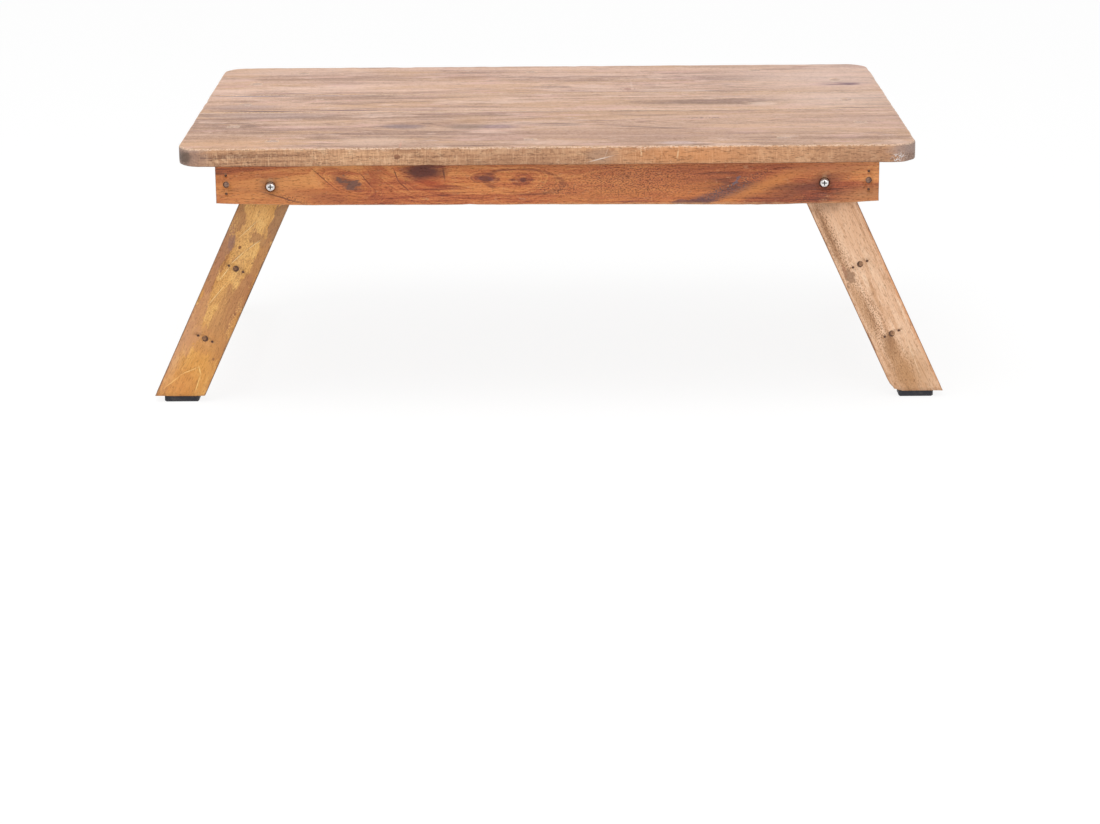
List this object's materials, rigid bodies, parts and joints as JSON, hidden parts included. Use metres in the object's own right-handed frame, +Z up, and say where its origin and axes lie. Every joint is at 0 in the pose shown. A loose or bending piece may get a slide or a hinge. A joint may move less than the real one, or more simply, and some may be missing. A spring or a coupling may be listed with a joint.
{
  "type": "folding low table",
  "caption": "Low rectangular wooden table with rounded corners on two splayed leg frames that fold flat inside the apron frame.",
  "frame": {"origin": "on the floor under the middle of the standing table", "axes": "+Z up, +X along the table's length to the right seen from the front, -Y towards the front"},
  "size_m": [0.8298, 0.5, 0.28],
  "materials": {
    "top_wood": "waxed, worn, streaky",
    "red_apron_wood": "oiled, red-brown heartwood",
    "apron_wood": "oiled",
    "leg_wood": "waxed, light",
    "crossbar_wood": "planed, worn edges",
    "plug_wood": "grey-brown filler plug",
    "zinc_steel": "bright zinc plated",
    "nail_steel": "dark, rusty nail heads",
    "foot_rubber": "matt black"
  },
  "bodies": {
    "table": {"plank_front": "top_wood", "plank_middle": "top_wood", "plank_rear": "top_wood", "top_screws": "zinc_steel", "top_plugs": "plug_wood", "apron_front": "red_apron_wood", "apron_back": "apron_wood", "apron_left": "apron_wood", "apron_right": "apron_wood", "apron_screws": "zinc_steel", "apron_plugs": "plug_wood", "apron_nails": "nail_steel", "pivot_screw_front_left": "zinc_steel", "pivot_screw_front_right": "zinc_steel", "pivot_screw_back_left": "zinc_steel", "pivot_screw_back_right": "zinc_steel", "spacer_washer_front_left": "zinc_steel", "spacer_washer_front_right": "zinc_steel", "spacer_washer_back_left": "zinc_steel", "spacer_washer_back_right": "zinc_steel", "nut_washer_front_left": "zinc_steel", "nut_washer_front_right": "zinc_steel", "nut_washer_back_left": "zinc_steel", "nut_washer_back_right": "zinc_steel", "nut_front_left": "zinc_steel", "nut_front_right": "zinc_steel", "nut_back_left": "zinc_steel", "nut_back_right": "zinc_steel"},
    "left_leg_frame": {"left_leg_front": "leg_wood", "left_leg_back": "leg_wood", "left_crossbar_upper": "crossbar_wood", "left_crossbar_lower": "crossbar_wood", "left_foot_front": "foot_rubber", "left_foot_back": "foot_rubber", "left_crossbar_screws": "zinc_steel", "left_crossbar_plugs": "plug_wood", "left_crossbar_nails": "nail_steel", "left_foot_nails": "nail_steel"},
    "right_leg_frame": {"right_leg_front": "leg_wood", "right_leg_back": "leg_wood", "right_crossbar_upper": "crossbar_wood", "right_crossbar_lower": "crossbar_wood", "right_foot_front": "foot_rubber", "right_foot_back": "foot_rubber", "right_crossbar_screws": "zinc_steel", "right_crossbar_plugs": "plug_wood", "right_crossbar_nails": "nail_steel", "right_foot_nails": "nail_steel"}
  },
  "joints": [
    {"name": "left_leg_fold", "type": "hinge", "parent": "table", "child": "left_leg_frame", "pos_m": [-0.28375, 0, 0.2345], "axis": [0, -1, 0], "range_deg": [0, 115]},
    {"name": "right_leg_fold", "type": "hinge", "parent": "table", "child": "right_leg_frame", "pos_m": [0.28375, 0, 0.2345], "axis": [0, 1, 0], "range_deg": [0, 115]}
  ]
}
